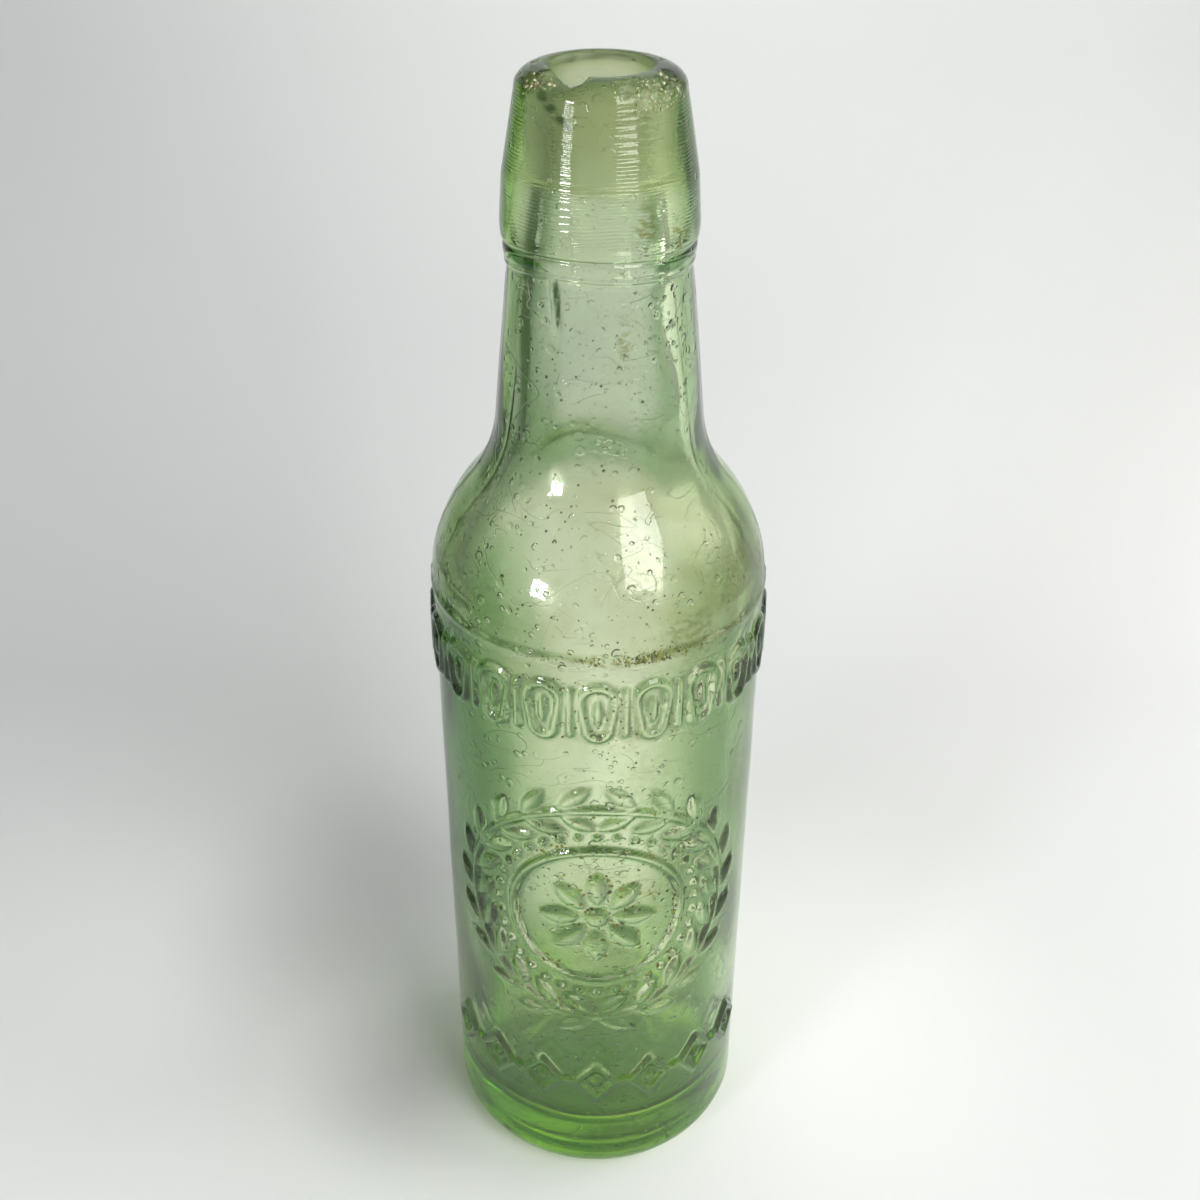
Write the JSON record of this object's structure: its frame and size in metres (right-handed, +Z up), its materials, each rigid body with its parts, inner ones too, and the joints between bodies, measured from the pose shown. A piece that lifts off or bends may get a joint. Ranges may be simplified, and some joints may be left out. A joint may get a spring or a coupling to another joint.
{
  "type": "glass drinks bottle",
  "caption": "Tall round glass bottle with a domed shoulder, long tapering neck, tooled lip applied over the neck's end, and raised ornament on the front.",
  "frame": {"origin": "on the ground, under the middle of the base", "axes": "+Z up along the bottle's axis to the mouth, -Y out of the ornamented front, +X to the right of someone facing the front"},
  "size_m": [0.0638, 0.0633, 0.2292],
  "materials": {
    "aqua_green_glass": "clear green glass, fire-polished, with seeds, scratches and brown soil stains",
    "yellow_green_glass": "clear yellow-green glass with tooling ripples and chips at the rim"
  },
  "bodies": {
    "root": {"blown_body": "aqua_green_glass", "applied_lip": "yellow_green_glass"}
  },
  "joints": []
}
